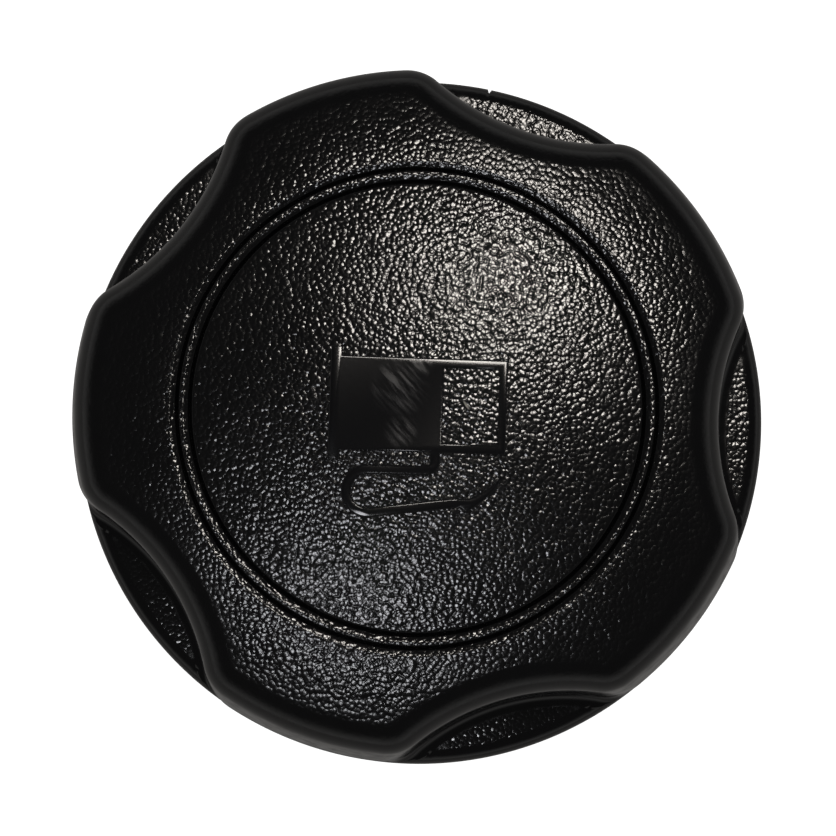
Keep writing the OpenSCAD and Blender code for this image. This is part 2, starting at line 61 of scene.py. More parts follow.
bl_info = {
    "name": "Fuel filler cap",
    "version": (1, 0, 0),
    "blender": (4, 5, 0),
    "location": "3D View > Sidebar > Filler cap",
    "description": "Builds the grip, thread, springs, finishes and studio of a screw-in fuel filler cap",
    "category": "Object",
}

# ---------------- sizes in millimetres

# The grip, from its underside up. The shelf is the floor of the finger hollows.
GRIP_Z = 23.0
SHELF_Z = 27.2
CROWN_Z = 45.2
FLANGE_R = 39.985
FLANGE_ROUND = 1.8
FLANGE_MID_Z = 24.7
FOOT_BREAK = 0.4
RIM_SPLIT_R = 38.1
LOBES = 5
LOBE_R = 39.7
LOBE_LEAN = 1.7
HOLLOW_C = 60.7
HOLLOW_R = 26.7
HOLLOW_DRAFT = 0.8
CORNER_R = 5.0
EDGE_R = 4.0
FILLET = 1.6
CROWN_RISE = 0.5
CROWN_BOW = math.radians(67)
ROLL_START, ROLL_END = math.radians(12), math.radians(80)
WALL_TOP_Z = CROWN_Z - CROWN_RISE - EDGE_R * (math.sin(ROLL_END) - math.sin(ROLL_START))

# The top face: crown, two V-shaped ring grooves with a ridge between them, domed panel
LAND_Z = 45.35
GROOVE_WALL = math.radians(62)
GROOVE_ROUND = 0.15
SHOULDER = math.radians(10)
LIP_BREAK, LIP_DROP = 0.06, 0.005
OUTER_LIP_R, OUTER_SHOULDER_R = 27.05, 26.5
RIDGE_OUT_R, RIDGE_IN_R, INNER_SHOULDER_R = 25.82, 25.55, 25.1
PANEL_R = 24.4
PANEL_RISE = 0.8
PANEL_RINGS = (24.3, 24, 23.4, 22.6, 21.5, 20, 18, 16, 14, 12, 10, 8)
SYMBOL_TOP = 46.45
SYMBOL_SINK = 45.7

# Steps of the grip's outer skin, from the flange's edge up to the grooves
EDGE_STEPS, SHELF_STEPS, FILLET_STEPS = 12, 12, 6
WALL_STEPS, ROLL_STEPS, CROWN_STEPS, GROOVE_STEPS = 8, 16, 16, 5

# How the grain dies out: by the shelf's width, by radians round the flange's edge, as a
# share of its depth on the rolled edge, and by the distance from there
SHELF_BARE, SHELF_FADE = 0.3, 0.8
EDGE_BARE, EDGE_FADE = 1.0, 0.2
ROLL_GRAIN, CROWN_FADE = 0.7, 3.0

# The plug's thread. Its foot and crest are shares of the pitch, and each end runs out
# over one ninth of its length.
BARREL_R = 22.9
THREAD_SINK = 0.5
THREAD_DEPTH = 2.6
THREAD_PITCH = 6.0
THREAD_TURNS = 1.75
THREAD_START_Z = 7.38
THREAD_FOOT, THREAD_CREST, THREAD_ROUND = 0.66, 0.22, 0.3
RUN_OUT, RUN_OUT_SINK = 9.0, 0.1

# The valve springs
PRESSURE_WIRE, PRESSURE_TURNS = 1.4, 5.0
VACUUM_WIRE, VACUUM_TURNS = 0.6, 5.5
FLAT_TURNS = 0.75
WIRE_SIDES = 14

# The angles in degrees past which an edge stays sharp
GRIP_SHARP, SYMBOL_SHARP, THREAD_SHARP = 32, 28, 40

# How close points are to be one, and how level the flat underside is
WELD = 0.001 * MM
NODE_WELD = 0.002 * MM
LOBE_WELD = 0.004 * MM
LEVEL = 0.005 * MM

# The grip's colours, and the side where its grain is shallower: between two distances
# from the axis, and up to a height above the shelf
GRIP_COLOUR, SYMBOL_COLOUR = "#121214", "#101014"
AWAY_FROM_GATE = (-0.319, -0.948, 0)
SHALLOW_FROM, SHALLOW_TO = 10.0, 20.0
SHALLOW_LOW, SHALLOW_HIGH = 0.2, 0.6

# The camera, the lamps (name, direction, width in degrees, colour) and the room, which is
# darker overhead than at the horizon
VIEW_AZIMUTH, VIEW_ELEVATION, VIEW_ROLL = math.radians(13.2), math.radians(85.75), math.radians(1.9)
VIEW_AIM = (-0.15, 0.235, 25.3)
LAMPS = (
    ("key", (0.063, 0.207, 0.976), 6.5, (1.0, 0.94, 0.87)),
    ("second", (-0.075, -0.125, 0.989), 5.5, (0.95, 0.96, 1.0)),
)
FLOOR_GLOW = 1.15
BACKDROP = (0.93, 0.93, 0.93, 1)
ROOM_COLOUR = (1.0, 0.985, 0.96, 1)
ROOM_HEIGHTS, ROOM_STRENGTHS = (0.05, 0.58), (0.43, 0.06)


# ---------------- helpers

def linear(code):
    """An sRGB hex colour as linear RGBA."""
    parts = [int(code[i:i + 2], 16) / 255 for i in (1, 3, 5)]
    return tuple(c / 12.92 if c <= 0.04045 else ((c + 0.055) / 1.055) ** 2.4 for c in parts) + (1.0,)


def opaque(colour):
    return tuple(colour) + (1.0,)


def add(tree, kind, *values, **settings):
    """Adds a node with its settings. A kind without Node in its name is one of the tree's own, and
    one in capitals is an operation of a Math node. The values fill its inputs in order, or by name in
    a dict: a number, a hex colour, a socket to link, or a node, linked by its first output."""
    if kind.isupper():
        kind, settings["operation"] = "ShaderNodeMath", kind
    if "Node" not in kind:
        kind = ("GeometryNode" if tree.type == "GEOMETRY" else "ShaderNode") + kind
    made = tree.nodes.new(kind)
    for key, value in settings.items():
        setattr(made, key, value)
    inputs = {}
    for i, value in enumerate(values):
        inputs.update(value if isinstance(value, dict) else {i: value})
    for key, value in inputs.items():
        value = value.outputs[0] if isinstance(value, bpy.types.Node) else value
        if isinstance(value, bpy.types.NodeSocket):
            tree.links.new(value, made.inputs[key])
        else:
            made.inputs[key].default_value = linear(value) if isinstance(value, str) else value
    return made


def new_object(name, mesh):
    made = bpy.data.objects.new(name, mesh)
    bpy.context.scene.collection.objects.link(made)
    return made


def smooth_by_angle(mesh, degrees):
    mesh.polygons.foreach_set("use_smooth", [True] * len(mesh.polygons))
    mesh.set_sharp_from_angle(angle=math.radians(degrees))


def new_tree(name, numbers):
    """A Geometry Nodes tree whose inputs are a geometry, named numbers and a finish."""
    tree = bpy.data.node_groups.new(name, "GeometryNodeTree")
    for way in ("OUTPUT", "INPUT"):
        tree.interface.new_socket("Geometry", in_out=way, socket_type="NodeSocketGeometry")
    for label, value in numbers.items():
        kind = "NodeSocketInt" if isinstance(value, int) else "NodeSocketFloat"
        tree.interface.new_socket(label, in_out="INPUT", socket_type=kind).default_value = value
    tree.interface.new_socket("Finish", in_out="INPUT", socket_type="NodeSocketMaterial")
    return tree, tree.nodes.new("NodeGroupInput").outputs


def finished(tree, geometry, given, weld=None):
    """Ends a Geometry Nodes tree: real geometry, welded if asked, with its finish."""
    real = add(tree, "RealizeInstances", geometry)
    if weld is not None:
        real = add(tree, "MergeByDistance", {"Geometry": real, "Distance": weld})
    finish = add(tree, "SetMaterial", {"Geometry": real, "Material": given["Finish"]})
    add(tree, "NodeGroupOutput", finish)
    return tree


def evaluated(carrier, name):
    """The plain mesh that an object comes to, in place of the object."""
    bpy.context.view_layer.update()
    real = carrier.evaluated_get(bpy.context.evaluated_depsgraph_get())
    mesh = bpy.data.meshes.new_from_object(real)
    mesh.name = name
    bpy.data.objects.remove(carrier)
    return mesh


def grown(name, tree, values, source=None):
    """The plain mesh that a Geometry Nodes tree makes, of a source mesh if any, with its inputs set."""
    carrier = new_object(name + "_carrier", source or bpy.data.meshes.new(name + "_start"))
    modifier = carrier.modifiers.new("Grow", "NODES")
    modifier.node_group = tree
    sockets = {s.name: s.identifier for s in tree.interface.items_tree
               if s.item_type == "SOCKET" and s.in_out == "INPUT"}
    for key, value in values.items():
        modifier[sockets[key]] = value
    return evaluated(carrier, name)


# ---------------- the grip's outline

def arc(cx, cy, r, a, b, steps):
    """Points on an arc from a to b in radians, without the last."""
    t = a + (b - a) * np.arange(steps) / steps
    return np.column_stack([cx + r * np.cos(t), cy + r * np.sin(t)])


def fifth(lobe, hollow, corner, steps):
    """One fifth of the grip's outline, from the middle of one hollow to the middle of the next."""
    pitch = math.tau / LOBES
    reach = lobe - corner
    phi = math.acos((HOLLOW_C ** 2 + reach ** 2 - (hollow + corner) ** 2) / (2 * HOLLOW_C * reach))
    cx, cy = reach * math.cos(phi), reach * math.sin(phi)
    beta = math.atan2(cy, cx - HOLLOW_C)
    hx, hy = HOLLOW_C * math.cos(pitch), HOLLOW_C * math.sin(pitch)
    mx, my = reach * math.cos(pitch - phi), reach * math.sin(pitch - phi)
    hollow_steps, corner_steps, lobe_steps = steps
    ring = np.vstack([
        arc(HOLLOW_C, 0, hollow, math.pi, beta, hollow_steps),
        arc(cx, cy, corner, beta - math.pi, phi, corner_steps),
        arc(0, 0, lobe, phi, pitch - phi, lobe_steps),
        arc(mx, my, corner, pitch - phi, pitch - beta + math.pi, corner_steps),
        arc(hx, hy, hollow, pitch - beta, pitch - math.pi, hollow_steps),
    ])
    turn = np.array([[math.cos(pitch), math.sin(pitch)], [-math.sin(pitch), math.cos(pitch)]])
    return np.vstack([ring, ring[0] @ turn])


def lean(z):
    """How far a lobe's wall has leant in at a height, as a share."""
    return ((z - SHELF_Z) / (WALL_TOP_Z - SHELF_Z)) ** 2


def wall_ring(z, inset, steps):
    rise = max(z - SHELF_Z, 0) / (WALL_TOP_Z - SHELF_Z)
    lobe = LOBE_R - LOBE_LEAN * lean(max(z, SHELF_Z)) - inset
    return fifth(lobe, HOLLOW_R + HOLLOW_DRAFT * rise + inset, CORNER_R - inset, steps)


def rolled_ring(angle, steps):
    """The outline at an angle round the rolled edge."""
    return wall_ring(WALL_TOP_Z, EDGE_R * (math.cos(ROLL_START) - math.cos(angle)), steps)


def eased(x):
    x = min(1.0, max(0.0, x))
    return x * x * (3 - 2 * x)


def crown_z(r, edge_r):
    """The height of the turned crown, from its edge on a lobe in to the outer groove."""
    low = CROWN_Z - CROWN_RISE
    t = np.clip((edge_r - r) / (edge_r - OUTER_LIP_R), 0, 1)
    return low + (LAND_Z - low) * np.sin(CROWN_BOW * t) / math.sin(CROWN_BOW)


def dome_z(r):
    """The height of the domed panel inside the grooves."""
    return LAND_Z + PANEL_RISE * (1 - (r / PANEL_R) ** 2)


def groove_profile(lip, shoulder, inner):
    """Points (r, z, grain) from a lip down its gentle shoulder, into a V groove and up to the next lip."""
    drop = (lip - shoulder) * math.tan(SHOULDER)
    down, up = [], []
    for i in range(GROOVE_STEPS + 1):
        t = i / GROOVE_STEPS
        a, b = SHOULDER + (GROOVE_WALL - SHOULDER) * t, GROOVE_WALL * (1 - t)
        down.append((shoulder - GROOVE_ROUND * (math.sin(a) - math.sin(SHOULDER)),
                     LAND_Z - drop - GROOVE_ROUND * (math.cos(SHOULDER) - math.cos(a)), 1 - t))
        up.append((inner + GROOVE_ROUND * math.sin(b), LAND_Z - GROOVE_ROUND * (1 - math.cos(b)), t))
    (r0, z0, _), (r1, z1, _) = down[-1], up[0]
    steep = math.tan(GROOVE_WALL)
    bottom = ((r0 + r1) / 2 + (z1 - z0) / (2 * steep), (z0 + z1) / 2 - (r0 - r1) / 2 * steep, 0)
    return [(lip, LAND_Z, 1), (lip - LIP_BREAK, LAND_Z - LIP_DROP, 1), *down, bottom, *up]


# ---------------- the grip's skin

def ring(xy, z, grain=0.0):
    """One ring of the skin: its points in 3-D, and the grain's depth at each."""
    z, grain = (np.broadcast_to(np.asarray(v, float), (len(xy),)) for v in (z, grain))
    return np.column_stack([xy, z]), grain


def spokes(outline):
    """Each point's distance from the axis, and its direction."""
    reach = np.linalg.norm(outline, axis=1)
    return reach, outline / reach[:, None]


def flange_rings(steps):
    """The flange's side and rounded edge, and the shelf, up to the foot of the lobes."""
    foot_r, ray = spokes(fifth(LOBE_R, HOLLOW_R - FILLET, CORNER_R, steps))
    rings = [
        ring(ray * (FLANGE_R - FOOT_BREAK), GRIP_Z),
        ring(ray * (FLANGE_R - FOOT_BREAK * 0.3), GRIP_Z + FOOT_BREAK * 0.3),
        ring(ray * FLANGE_R, GRIP_Z + FOOT_BREAK),
        ring(ray * FLANGE_R, FLANGE_MID_Z),
    ]
    # The rounding goes as far as the foot of a lobe lets it.
    flat_r = FLANGE_R - FLANGE_ROUND
    last = np.arccos(np.clip((foot_r - flat_r) / FLANGE_ROUND, 0, 1))
    edge_r = flat_r + FLANGE_ROUND * np.cos(last)
    edge_z = SHELF_Z - FLANGE_ROUND * (1 - np.sin(last))
    shelf_grain = np.clip((edge_r - foot_r - SHELF_BARE) / SHELF_FADE, 0, 1)
    for i in range(EDGE_STEPS + 1):
        a = last * i / EDGE_STEPS
        grain = np.clip((a - EDGE_BARE) / EDGE_FADE, 0, 1) * shelf_grain
        r = flat_r + FLANGE_ROUND * np.cos(a)
        rings.append(ring(ray * r[:, None], SHELF_Z - FLANGE_ROUND * (1 - np.sin(a)), grain))
    for i in range(1, SHELF_STEPS):
        t = i / SHELF_STEPS
        r = edge_r + (foot_r - edge_r) * t
        rings.append(ring(ray * r[:, None], edge_z + (SHELF_Z - edge_z) * t, shelf_grain))
    return rings


def side_rings(steps, lift):
    """The fillet, the leaning wall and the rolled edge, whose top stands higher by lift."""
    rings = []
    for i in range(FILLET_STEPS + 1):
        a = math.pi / 2 * i / FILLET_STEPS
        z = SHELF_Z + FILLET * (1 - math.cos(a))
        hollow = HOLLOW_R - FILLET * (1 - math.sin(a))
        rings.append(ring(fifth(LOBE_R - LOBE_LEAN * lean(z), hollow, CORNER_R, steps), z))
    start = SHELF_Z + FILLET
    for i in range(1, WALL_STEPS + 1):
        t = i / WALL_STEPS
        z = start + (WALL_TOP_Z - start) * t
        rings.append(ring(wall_ring(z, 0, steps), z + lift * t))
    for i in range(1, ROLL_STEPS + 1):
        t = i / ROLL_STEPS
        a = ROLL_START + (ROLL_END - ROLL_START) * t
        z = WALL_TOP_Z + EDGE_R * (math.sin(a) - math.sin(ROLL_START))
        rings.append(ring(rolled_ring(a, steps), z + lift, ROLL_GRAIN * eased(2 * t - 1)))
    return rings


def grip_rings(steps):
    """The grip's outer skin over one fifth, from the underside in to the middle of the top."""
    edge = rolled_ring(ROLL_END, steps)
    edge_r, ray = spokes(edge)
    # The crown is turned, so its edge stands a little higher beside the hollows than on the lobes.
    lift = crown_z(edge_r, edge_r.max()) - (CROWN_Z - CROWN_RISE)
    rings = flange_rings(steps) + side_rings(steps, lift)
    for i in range(1, CROWN_STEPS):
        t = i / CROWN_STEPS
        xy = (1 - t) * edge + t * ray * OUTER_LIP_R
        away = np.linalg.norm(xy - edge, axis=1)
        grain = ROLL_GRAIN + (1 - ROLL_GRAIN) * np.clip(away / CROWN_FADE, 0, 1)
        rings.append(ring(xy, crown_z(np.linalg.norm(xy, axis=1), edge_r.max()), grain))
    profile = groove_profile(OUTER_LIP_R, OUTER_SHOULDER_R, RIDGE_OUT_R)
    profile += groove_profile(RIDGE_IN_R, INNER_SHOULDER_R, PANEL_R)[:-1]
    profile += [(r, dome_z(r), 1) for r in PANEL_RINGS]
    return rings + [ring(ray * r, z, grain) for r, z, grain in profile]


def sector_mesh(rings):
    """A mesh strip through the rings, with the grain's depth on its points."""
    columns = len(rings[0][0])
    points = np.vstack([points for points, _ in rings]) * MM
    grain = np.concatenate([grain for _, grain in rings])
    k, i = np.meshgrid(np.arange(len(rings) - 1), np.arange(columns - 1), indexing="ij")
    a = (k * columns + i).ravel()
    quads = np.column_stack([a, a + 1, a + columns + 1, a + columns])
    mesh = bpy.data.meshes.new("grip_fifth")
    mesh.from_pydata(points.tolist(), [], quads.tolist())
    layer = mesh.attributes.new("grain", "FLOAT", "POINT")
    layer.data.foreach_set("value", grain.astype(np.float32))
    return mesh


def lobe_tree():
    """Geometry Nodes: one fifth of the grip repeated round the axis and welded."""
    tree, given = new_tree("Lobes round the axis", {"Lobes": LOBES, "Weld distance": LOBE_WELD})
    points = add(tree, "MeshLine", {"Count": given["Lobes"], "Offset": (0, 0, 0)})
    pitch = add(tree, "DIVIDE", math.tau, given["Lobes"])
    angle = add(tree, "MULTIPLY", add(tree, "InputIndex"), pitch)
    placed = add(tree, "InstanceOnPoints", {
        "Points": points, "Instance": given["Geometry"],
        "Rotation": add(tree, "ShaderNodeCombineXYZ", {"Z": angle})})
    return finished(tree, placed, given, given["Weld distance"])


def moulded_inside(node):
    """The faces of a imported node's inside, up to the flat rim of its underside, as a bmesh."""
    work = bmesh.new()
    work.from_mesh(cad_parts[node].data)
    bmesh.ops.remove_doubles(work, verts=work.verts, dist=NODE_WELD)
    rim = [f for f in work.faces if all(abs(v.co.z - GRIP_Z * MM) < LEVEL for v in f.verts)]
    if not rim:
        raise RuntimeError("the grip's flat underside was not found")
    bmesh.ops.delete(work, geom=rim, context="FACES")
    top = max(work.verts, key=lambda v: v.co.z)
    seen, queue = {top}, [top]
    while queue:
        for edge in queue.pop().link_edges:
            for v in edge.verts:
                if v not in seen:
                    seen.add(v)
                    queue.append(v)
    bmesh.ops.delete(work, geom=list(seen), context="VERTS")
    loose = [v for v in work.verts if not v.link_faces]
    bmesh.ops.delete(work, geom=loose, context="VERTS")
    return work


def by_angle(verts):
    return sorted(verts, key=lambda v: math.atan2(v.co.y, v.co.x))


def zip_loops(work, outer, inner):
    """Fills the flat ring between two loops of vertices round the axis."""
    outer, inner = by_angle(outer), by_angle(inner)
    i = j = 0
    while i < len(outer) or j < len(inner):
        a, b = outer[i % len(outer)], inner[j % len(inner)]
        ahead_out, ahead_in = (i + 1) / len(outer), (j + 1) / len(inner)
        if i < len(outer) and (j >= len(inner) or ahead_out <= ahead_in):
            work.faces.new((a, b, outer[(i + 1) % len(outer)]))
            i += 1
        else:
            work.faces.new((a, b, inner[(j + 1) % len(inner)]))
            j += 1


def fill_panel(work, last):
    """Closes the domed panel inside its last ring, with one ring more and a middle."""
    grain = work.verts.layers.float["grain"]

    def point(x, y):
        made = work.verts.new((x, y, dome_z(math.hypot(x, y) / MM) * MM))
        made[grain] = 1.0
        return made

    middle = point(0, 0)
    inner = [point(v.co.x / 2, v.co.y / 2) for v in last]
    for a, b, c, d in zip(last, last[1:] + last[:1], inner[1:] + inner[:1], inner):
        work.faces.new((a, b, c, d))
    for a, b in zip(inner, inner[1:] + inner[:1]):
        work.faces.new((a, b, middle))


def nick(work, settings):
    """The small V nick in the flange's edge, at the hollow next to the top."""
    angle, half = math.radians(settings.nick_angle), settings.nick_width / 2
    inner_r, top_z, side = (FLANGE_R - 3) * MM, (SHELF_Z + 0.1) * MM, 2 * MM

    def off(co):
        return (math.atan2(co.y, co.x) - angle) * FLANGE_R * MM

    def at_edge(co):
        return math.hypot(co.x, co.y) > inner_r and co.z < top_z and abs(off(co)) < side

    # one plane through each side of the nick and one through its root
    for shift in (-half, 0, half):
        cut = angle + shift / (FLANGE_R * MM)
        near = [f for f in work.faces if at_edge(f.calc_center_median())]
        edges = list({e for f in near for e in f.edges})
        verts = list({v for f in near for v in f.verts})
        bmesh.ops.bisect_plane(work, geom=near + edges + verts, dist=0.0001 * MM, plane_co=(0, 0, 0),
                               plane_no=(-math.sin(cut), math.cos(cut), 0))
    for vert in work.verts:
        r = math.hypot(vert.co.x, vert.co.y)
        if at_edge(vert.co) and abs(off(vert.co)) < half:
            reach = min(1, (r / MM - FLANGE_R + FLANGE_ROUND) / FLANGE_ROUND)
            cut = settings.nick_depth * (1 - abs(off(vert.co)) / half) * max(0, reach)
            vert.co.x *= 1 - cut / r
            vert.co.y *= 1 - cut / r


# ---------------- the fuel-pump symbol

def curve_points(a, b, c, steps):
    t = np.linspace(0, 1, steps + 1)[:, None]
    return (1 - t) ** 2 * np.array(a) + 2 * t * (1 - t) * np.array(b) + t ** 2 * np.array(c)


def box_points(x, y, w, h):
    return np.array([(x, y), (x + w, y), (x + w, y + h), (x, y + h)], float)


def band_points(path, width):
    path = np.array(path)
    before, after = np.vstack([path[:1], path[:-1]]), np.vstack([path[1:], path[-1:]])
    way = after - before
    way /= np.linalg.norm(way, axis=1)[:, None]
    out = np.column_stack([-way[:, 1], way[:, 0]]) * width / 2
    return np.vstack([path + out, (path - out)[::-1]])


def symbol_loops():
    """The outlines of the fuel-pump symbol: pump, foot, window, hose and nozzle joined."""
    rise, loop_r, bend_r, hose_x = math.radians(8), 2.35, 1.1, 2.2
    loop = (-5, -9.35)
    hose = np.vstack([
        [(hose_x, -4.8)],
        arc(hose_x - bend_r, loop[1] + loop_r + bend_r, bend_r, 0, -math.pi / 2, 10),
        arc(*loop, loop_r, math.pi / 2, 3 * math.pi / 2 + rise, 30),
        [(loop[0] + loop_r * math.sin(rise), loop[1] - loop_r * math.cos(rise)), (4.4, -10.4)],
    ])
    nozzle = np.vstack([
        [(4.1, -10.9), (5, -10.85)],
        curve_points((5.7, -11.4), (9.1, -9.3), (9.65, -7.05), 14),
        curve_points((9.65, -7.05), (8, -9.1), (5.9, -9.85), 12),
        [(4.1, -9.9)],
    ])
    foot, body, window, hose_id, nozzle_id = range(5)
    shapes = [box_points(-9.5, -6.05, 1.3, 12.4), box_points(-8.3, -5, 18.1, 10.3),
              box_points(2.9, -3.95, 6, 8.2), band_points(hose, 1.1), nozzle]
    points, faces = [], []
    for shape in shapes:
        x, y = shape.T
        if np.sum(x * np.roll(y, -1) - y * np.roll(x, -1)) < 0:
            shape = shape[::-1]
        faces.append(list(range(len(points), len(points) + len(shape))))
        points += [Vector(p) for p in shape]
    verts, _, tris, _, _, owners = delaunay_2d_cdt(points, [], faces, 1, 1e-5)
    sides = {}
    for tri, own in zip(tris, owners):
        own = set(own)
        if own & {foot, hose_id, nozzle_id} or (body in own and window not in own):
            sides.update(dict.fromkeys(zip(tri, tri[1:] + tri[:1])))
    onward = {a: b for a, b in sides if (b, a) not in sides}
    loops = []
    while onward:
        start = at = next(iter(onward))
        loop_ids = []
        while at in onward:
            loop_ids.append(at)
            at = onward.pop(at)
            if at == start:
                break
        loops.append([verts[i] for i in loop_ids])
    return loops


def symbol_mesh(name, bevel):
    """The symbol as a closed raised slab with a rounded upper edge."""
    outline = bpy.data.curves.new(name, "CURVE")
    outline.dimensions = "2D"
    outline.fill_mode = "BOTH"
    outline.extrude = (SYMBOL_TOP - SYMBOL_SINK) / 2 * MM - bevel
    outline.bevel_depth = bevel
    outline.bevel_resolution = 5
    outline.offset = -bevel
    for loop in symbol_loops():
        spline = outline.splines.new("POLY")
        spline.points.add(len(loop) - 1)
        for point, target in zip(spline.points, loop):
            point.co = (target[0] * MM, target[1] * MM, 0, 1)
        spline.use_cyclic_u = True
    mesh = evaluated(new_object(name + "_carrier", outline), name)
    mesh.transform(Matrix.Translation((0, 0, (SYMBOL_TOP + SYMBOL_SINK) / 2 * MM)))
    work = bmesh.new()
    work.from_mesh(mesh)
    bmesh.ops.remove_doubles(work, verts=work.verts, dist=WELD)
    bmesh.ops.recalc_face_normals(work, faces=work.faces)
    work.to_mesh(mesh)
    work.free()
    mesh.materials.clear()
    smooth_by_angle(mesh, SYMBOL_SHARP)
    return mesh


# ---------------- what follows a path

def straight(tree, given):
    """A curve to wind, and each point's share of the way along it."""
    count = add(tree, "MULTIPLY", given["Turns"], given["Points per turn"])
    line = add(tree, "CurvePrimitiveLine")
    share = add(tree, "SplineParameter").outputs["Factor"]
    return add(tree, "ResampleCurve", {"Curve": line, "Count": count}), share


def wound(tree, curve, radius, turned, z):
    """The curve's points set so many turns round the axis, and so high."""
    angle = add(tree, "MULTIPLY", turned, math.tau)
    x, y = (add(tree, "MULTIPLY", radius, add(tree, way, angle)) for way in ("COSINE", "SINE"))
    place = add(tree, "ShaderNodeCombineXYZ", x, y, z)
    return add(tree, "SetPosition", {"Geometry": curve, "Position": place})


def spring_tree():
    """Geometry Nodes: round wire along a helix whose end turns lie flat."""
    tree, given = new_tree("Coil spring", {
        "Coil radius": 0.01, "Wire": 0.001, "Bottom": 0.0, "Top": 0.01, "Turns": 5.0,
        "Flat turns": FLAT_TURNS, "Points per turn": 48})
    curve, share = straight(tree, given)
    turned = add(tree, "MULTIPLY", share, given["Turns"])
    flat = add(tree, "MULTIPLY", given["Flat turns"], 2.0)
    free = add(tree, "SUBTRACT", given["Turns"], flat)
    past = add(tree, "SUBTRACT", turned, given["Flat turns"])
    climb = add(tree, "DIVIDE", past, free, use_clamp=True)
    half = add(tree, "MULTIPLY", given["Wire"], 0.5)
    height = add(tree, "SUBTRACT", given["Top"], given["Bottom"])
    span = add(tree, "SUBTRACT", height, given["Wire"])
    foot = add(tree, "ADD", given["Bottom"], half)
    z = add(tree, "ADD", foot, add(tree, "MULTIPLY", span, climb))
    helix = wound(tree, curve, given["Coil radius"], turned, z)
    section = add(tree, "CurvePrimitiveCircle", {"Resolution": WIRE_SIDES, "Radius": half})
    wire = add(tree, "CurveToMesh", helix, section, {"Fill Caps": True})
    return finished(tree, wire, given)


def thread_tree():
    """Geometry Nodes: a thread ridge along a helix, running out at both ends."""
    tree, given = new_tree("Thread", {
        "Root radius": 0.02, "Run-out radius": 0.0205, "Start": 0.0, "Pitch": 0.006, "Turns": 1.75,
        "Depth": 0.003, "Foot width": 0.004, "Crest width": 0.0013, "Crest round": 0.0004,
        "Points per turn": 120})
    curve, share = straight(tree, given)
    turned = add(tree, "MULTIPLY", share, given["Turns"])
    climb = add(tree, "MULTIPLY", turned, given["Pitch"])
    z = add(tree, "ADD", given["Start"], climb)
    helix = wound(tree, curve, given["Root radius"], turned, z)
    left = add(tree, "SUBTRACT", 1.0, share)
    rise_in, rise_out = (add(tree, "MULTIPLY", way, RUN_OUT) for way in (share, left))
    lower = add(tree, "MINIMUM", rise_in, rise_out)
    upright = add(tree, "SetCurveNormal", {"Curve": helix}, mode="Z_UP")
    kept = add(tree, "CaptureAttribute", {"Geometry": upright})
    kept.capture_items.new("FLOAT", "Grow")
    tree.links.new(add(tree, "MINIMUM", lower, 1.0).outputs[0], kept.inputs["Grow"])
    trapezoid = add(tree, "CurvePrimitiveQuadrilateral", {
        "Bottom Width": given["Foot width"], "Top Width": given["Crest width"],
        "Height": given["Depth"], "Offset": 0.0}, mode="TRAPEZOID")
    rounded = add(tree, "FilletCurve", {
        "Curve": trapezoid, "Radius": given["Crest round"], "Count": 4}, mode="POLY")
    lift = add(tree, "ShaderNodeCombineXYZ", {"Y": add(tree, "MULTIPLY", given["Depth"], 0.5)})
    raised = add(tree, "Transform", {"Geometry": rounded, "Translation": lift})
    outward = add(tree, "Transform", {"Geometry": raised, "Rotation": (0, 0, -math.pi / 2)})
    ridge = add(tree, "CurveToMesh", kept.outputs["Geometry"], outward, {"Fill Caps": True})
    # the run-out: towards its ends the ridge sinks into the barrel
    at = add(tree, "ShaderNodeSeparateXYZ", add(tree, "InputPosition")).outputs
    xx, yy = (add(tree, "MULTIPLY", way, way) for way in at[:2])
    r = add(tree, "SQRT", add(tree, "ADD", xx, yy))
    above = add(tree, "SUBTRACT", r, given["Run-out radius"])
    above = add(tree, "MAXIMUM", above, 0.0)
    sinking = add(tree, "SUBTRACT", 1.0, kept.outputs["Grow"])
    drop = add(tree, "MULTIPLY", above, sinking)
    ratio = add(tree, "DIVIDE", add(tree, "SUBTRACT", r, drop), r)
    x, y = (add(tree, "MULTIPLY", way, ratio) for way in at[:2])
    sunk = add(tree, "ShaderNodeCombineXYZ", x, y, at[2])
    return finished(tree, add(tree, "SetPosition", {"Geometry": ridge, "Position": sunk}), given)


# ---------------- finishes
# A pattern's scale is PER_MM over the width of its features in millimetres.

def plain(name, values):
    """A material with only its shader, and the tree, the shader and the Object coordinates."""
    made = bpy.data.materials.new(name)
    made.use_nodes = True
    tree = made.node_tree
    tree.nodes.clear()
    shader = add(tree, "BsdfPrincipled", values)
    add(tree, "OutputMaterial", {"Surface": shader})
    return made, tree, shader, add(tree, "TexCoord").outputs["Object"]


def dress(tree, shader, place, share, low, high, height, depth_mm, rough=None):
    """Gives a shader a colour from low to high by share, a bump so deep and a roughness. A height
    may be the size of fine noise and its detail, and a roughness a pattern and its two ends."""
    colour = add(tree, "Mix", {0: share, 6: low, 7: high}, data_type="RGBA").outputs[2]
    if isinstance(height, tuple):
        height = add(tree, NOISE, {"Vector": place, "Scale": PER_MM / height[0], "Detail": height[1]})
    relief = add(tree, "Bump", {"Height": height, "Distance": depth_mm * MM})
    tree.links.new(colour, shader.inputs["Base Color"])
    tree.links.new(relief.outputs[0], shader.inputs["Normal"])
    if isinstance(rough, tuple):
        rough = add(tree, RANGE, rough[0], *NOISE_SPAN, *rough[1:])
    if rough is not None:
        tree.links.new(rough.outputs[0], shader.inputs["Roughness"])


def material(name, colour, roughness, ior, more=None):
    """Turns a function that says how to dress a shader into one that gives the material, made once."""
    def wrap(paint):
        def give():
            made = bpy.data.materials.get(name)
            if made is None:
                values = {"Base Color": colour, "Roughness": roughness, "IOR": ior, **(more or {})}
                made, *parts = plain(name, values)
                dress(*parts, *paint(*parts))
            return made
        return give
    return wrap


